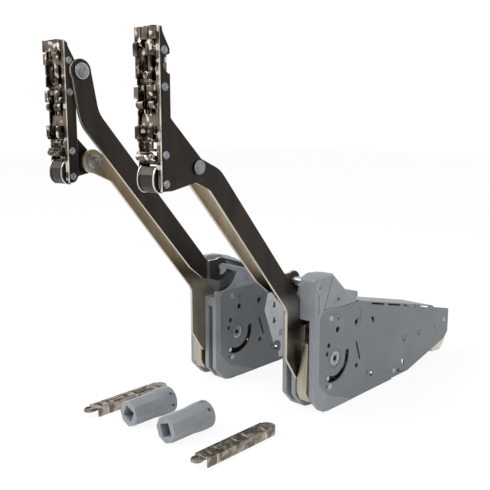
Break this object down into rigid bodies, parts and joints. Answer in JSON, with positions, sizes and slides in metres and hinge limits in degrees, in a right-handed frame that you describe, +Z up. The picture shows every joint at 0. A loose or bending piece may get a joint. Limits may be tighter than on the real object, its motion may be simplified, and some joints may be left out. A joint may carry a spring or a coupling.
{
  "type": "lift-up door mechanism",
  "caption": "Pair of lift-up door units: spring housings with parallel arms that carry a vertical door bracket, with crossbar adapters and door plates.",
  "frame": {"origin": "centre of the footprint of the standing pair, on the surface that it stands on", "axes": "X across the cabinet, to the right seen from its front; Y from the door to the cabinet's back; Z up"},
  "size_m": [0.175, 0.4596, 0.3533],
  "materials": {
    "housing_grey": "fine matt, moulded",
    "plate_grey": "satin grey coating on sheet steel",
    "dark_nickel": "black nickel, polished",
    "nickel": "nickel plated stamping",
    "cream_nickel": "warm zinc plated sheet",
    "zinc": "bright zinc",
    "steel": "plain steel, oiled",
    "spring_steel": "oil tempered wire",
    "cream": "matt"
  },
  "bodies": {
    "housings": {"plate_rivets": "zinc", "rear_caps": "cream", "adapter_a": "housing_grey", "adapter_b": "housing_grey", "door_plate_a": "nickel", "door_plate_b": "nickel", "right_side_tray": "plate_grey", "right_inner_plate": "plate_grey", "right_outer_cover": "housing_grey", "right_inner_cover": "housing_grey", "right_spring_seat": "steel", "right_damper_tube": "dark_nickel", "right_control_axle": "zinc", "right_springs": "spring_steel", "left_side_tray": "plate_grey", "left_inner_plate": "plate_grey", "left_outer_cover": "housing_grey", "left_inner_cover": "housing_grey", "left_spring_seat": "steel", "left_damper_tube": "dark_nickel", "left_control_axle": "zinc", "left_springs": "spring_steel"},
    "right_lever": {"right_power_lever": "cream_nickel", "right_main_axle": "zinc", "right_lever_pins": "zinc", "right_main_arm": "dark_nickel"},
    "right_control": {"right_control_arm": "dark_nickel"},
    "right_bracket": {"right_main_arm_pin": "zinc", "right_control_arm_pin": "zinc", "right_bracket_outer": "dark_nickel", "right_bracket_inner": "dark_nickel", "right_bracket_rivets": "zinc", "right_carrier": "nickel"},
    "right_bridge": {"right_guide_rods": "steel", "right_spring_bridge": "steel", "right_roller_pin": "steel", "right_damper_rod": "steel"},
    "right_roller": {"right_roller": "zinc"},
    "right_release": {"right_release_lever": "dark_nickel"},
    "right_screw": {"right_adjusting_screw": "zinc"},
    "left_lever": {"left_power_lever": "cream_nickel", "left_main_axle": "zinc", "left_lever_pins": "zinc", "left_main_arm": "dark_nickel"},
    "left_control": {"left_control_arm": "dark_nickel"},
    "left_bracket": {"left_main_arm_pin": "zinc", "left_control_arm_pin": "zinc", "left_bracket_outer": "dark_nickel", "left_bracket_inner": "dark_nickel", "left_bracket_rivets": "zinc", "left_carrier": "nickel"},
    "left_bridge": {"left_guide_rods": "steel", "left_spring_bridge": "steel", "left_roller_pin": "steel", "left_damper_rod": "steel"},
    "left_roller": {"left_roller": "zinc"},
    "left_release": {"left_release_lever": "dark_nickel"},
    "left_screw": {"left_adjusting_screw": "zinc"}
  },
  "joints": [
    {"name": "right_arm_swing", "type": "hinge", "parent": "housings", "child": "right_lever", "pos_m": [0.0675, -0.01285, 0.0527], "axis": [1, 0, 0], "range_deg": [0, 115]},
    {"name": "right_control_swing", "type": "hinge", "parent": "housings", "child": "right_control", "pos_m": [0.0495, -0.03685, 0.1312], "axis": [1, 0, 0], "range_deg": [0, 115]},
    {"name": "right_bracket_tilt", "type": "hinge", "parent": "right_lever", "child": "right_bracket", "pos_m": [0.0675, -0.18635, 0.2502], "axis": [1, 0, 0], "range_deg": [-115, 0]},
    {"name": "right_bridge_slide", "type": "slide", "parent": "housings", "child": "right_bridge", "axis": [0, 1, 0], "range_m": [0, 0.0282], "deforming": ["right_springs"]},
    {"name": "right_roller_spin", "type": "hinge", "parent": "right_bridge", "child": "right_roller", "pos_m": [0.074, 0.01382, 0.0527], "axis": [1, 0, 0], "range_deg": [-510, 0]},
    {"name": "right_release_press", "type": "hinge", "parent": "right_bracket", "child": "right_release", "pos_m": [0.0615, -0.22195, 0.2488], "axis": [1, 0, 0], "range_deg": [-15, 0]},
    {"name": "right_screw_turn", "type": "hinge", "parent": "right_bracket", "child": "right_screw", "pos_m": [0.0615, -0.22035, 0.2897], "axis": [0, 1, 0], "range_deg": [-360, 360]},
    {"name": "left_arm_swing", "type": "hinge", "parent": "housings", "child": "left_lever", "pos_m": [-0.0675, -0.01285, 0.0527], "axis": [1, 0, 0], "range_deg": [0, 115]},
    {"name": "left_control_swing", "type": "hinge", "parent": "housings", "child": "left_control", "pos_m": [-0.0495, -0.03685, 0.1312], "axis": [1, 0, 0], "range_deg": [0, 115]},
    {"name": "left_bracket_tilt", "type": "hinge", "parent": "left_lever", "child": "left_bracket", "pos_m": [-0.0675, -0.18635, 0.2502], "axis": [1, 0, 0], "range_deg": [-115, 0]},
    {"name": "left_bridge_slide", "type": "slide", "parent": "housings", "child": "left_bridge", "axis": [0, 1, 0], "range_m": [0, 0.0282], "deforming": ["left_springs"]},
    {"name": "left_roller_spin", "type": "hinge", "parent": "left_bridge", "child": "left_roller", "pos_m": [-0.074, 0.01382, 0.0527], "axis": [1, 0, 0], "range_deg": [-510, 0]},
    {"name": "left_release_press", "type": "hinge", "parent": "left_bracket", "child": "left_release", "pos_m": [-0.0615, -0.22195, 0.2488], "axis": [1, 0, 0], "range_deg": [-15, 0]},
    {"name": "left_screw_turn", "type": "hinge", "parent": "left_bracket", "child": "left_screw", "pos_m": [-0.0615, -0.22035, 0.2897], "axis": [0, 1, 0], "range_deg": [-360, 360]}
  ],
  "couplings": [
    {"joint": "right_control_swing", "follows": "right_arm_swing", "ratio": 1},
    {"joint": "right_bracket_tilt", "follows": "right_arm_swing", "ratio": -1},
    {"joint": "right_bridge_slide", "follows": "right_arm_swing", "m_per_rad": 0.014},
    {"joint": "right_roller_spin", "follows": "right_arm_swing", "ratio": -4.4},
    {"joint": "left_control_swing", "follows": "left_arm_swing", "ratio": 1},
    {"joint": "left_bracket_tilt", "follows": "left_arm_swing", "ratio": -1},
    {"joint": "left_bridge_slide", "follows": "left_arm_swing", "m_per_rad": 0.014},
    {"joint": "left_roller_spin", "follows": "left_arm_swing", "ratio": -4.4}
  ]
}
